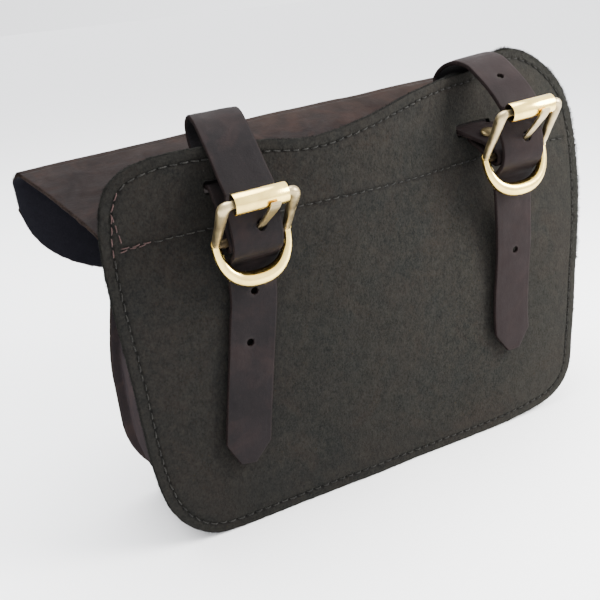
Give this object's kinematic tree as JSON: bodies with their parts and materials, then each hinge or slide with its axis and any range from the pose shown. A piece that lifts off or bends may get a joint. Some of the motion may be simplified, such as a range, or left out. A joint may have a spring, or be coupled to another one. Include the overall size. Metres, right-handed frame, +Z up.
{
  "type": "saddle bag",
  "caption": "Leather bicycle saddle bag: suede back panel with two raised ears, gusseted body, fold-over flap and two buckled hanging straps.",
  "frame": {"origin": "centre of the bag's footprint at floor level", "axes": "+Z up; +Y out of the back panel that carries the straps; the flap folds over the front, towards -Y; +X across the width"},
  "size_m": [0.334, 0.137, 0.2218],
  "materials": {
    "suede": "matte olive-brown suede, flesh side out",
    "body_leather": "oiled smooth leather, dark brown",
    "flap_leather": "oiled smooth leather, warm dark brown",
    "strap_leather": "oiled strap leather, dark brown with cut edges",
    "antique_brass": "antique brass plate, satin",
    "thread": "waxed olive-brown thread"
  },
  "bodies": {
    "bag": {"back_panel": "suede", "ear_lining": "suede", "front_panel": "body_leather", "gusset": "body_leather", "flap_seam_margin": "flap_leather", "strap_left": "strap_leather", "strap_right": "strap_leather", "rivet_post_left": "antique_brass", "rivet_cap_left": "antique_brass", "rivet_post_right": "antique_brass", "rivet_cap_right": "antique_brass", "thread_back_seam": "thread", "thread_flap_seam": "thread", "thread_front_seam": "thread"},
    "flap_top_body": {"flap_top": "flap_leather"},
    "flap_front_body": {"flap_front": "flap_leather"},
    "buckle_left": {"buckle_frame_left": "antique_brass"},
    "buckle_right": {"buckle_frame_right": "antique_brass"},
    "roller_left_body": {"roller_left": "antique_brass"},
    "roller_right_body": {"roller_right": "antique_brass"},
    "tongue_left_body": {"tongue_left": "antique_brass"},
    "tongue_right_body": {"tongue_right": "antique_brass"}
  },
  "joints": [
    {"name": "flap_top_lift", "type": "hinge", "parent": "bag", "child": "flap_top_body", "pos_m": [0, 0.01587, 0.1687], "axis": [-0.9988, -0.0499, 0], "range_deg": [0, 8]},
    {"name": "flap_front_lift", "type": "hinge", "parent": "flap_top_body", "child": "flap_front_body", "pos_m": [0, -0.06615, 0.19835], "axis": [-0.999, 0, 0.0454], "range_deg": [0, 90]},
    {"name": "buckle_left_rock", "type": "hinge", "parent": "bag", "child": "buckle_left", "pos_m": [0.08, 0.0372, 0.1595], "axis": [0.995, -0.0848, -0.0523], "range_deg": [0, 3]},
    {"name": "roller_left_spin", "type": "hinge", "parent": "buckle_left", "child": "roller_left_body", "pos_m": [0.08311, 0.05984, 0.1819], "axis": [0.995, -0.0848, -0.0523], "continuous": true},
    {"name": "tongue_left_play", "type": "hinge", "parent": "buckle_left", "child": "tongue_left_body", "pos_m": [0.08, 0.0372, 0.1595], "axis": [-0.995, 0.0848, 0.0523], "range_deg": [0, 3]},
    {"name": "buckle_right_rock", "type": "hinge", "parent": "bag", "child": "buckle_right", "pos_m": [-0.083, 0.0312, 0.17], "axis": [0.987, -0.1412, -0.077], "range_deg": [0, 3]},
    {"name": "roller_right_spin", "type": "hinge", "parent": "buckle_right", "child": "roller_right_body", "pos_m": [-0.07833, 0.04997, 0.19549], "axis": [0.987, -0.1412, -0.077], "continuous": true},
    {"name": "tongue_right_play", "type": "hinge", "parent": "buckle_right", "child": "tongue_right_body", "pos_m": [-0.083, 0.0312, 0.17], "axis": [-0.987, 0.1412, 0.077], "range_deg": [0, 3]}
  ]
}
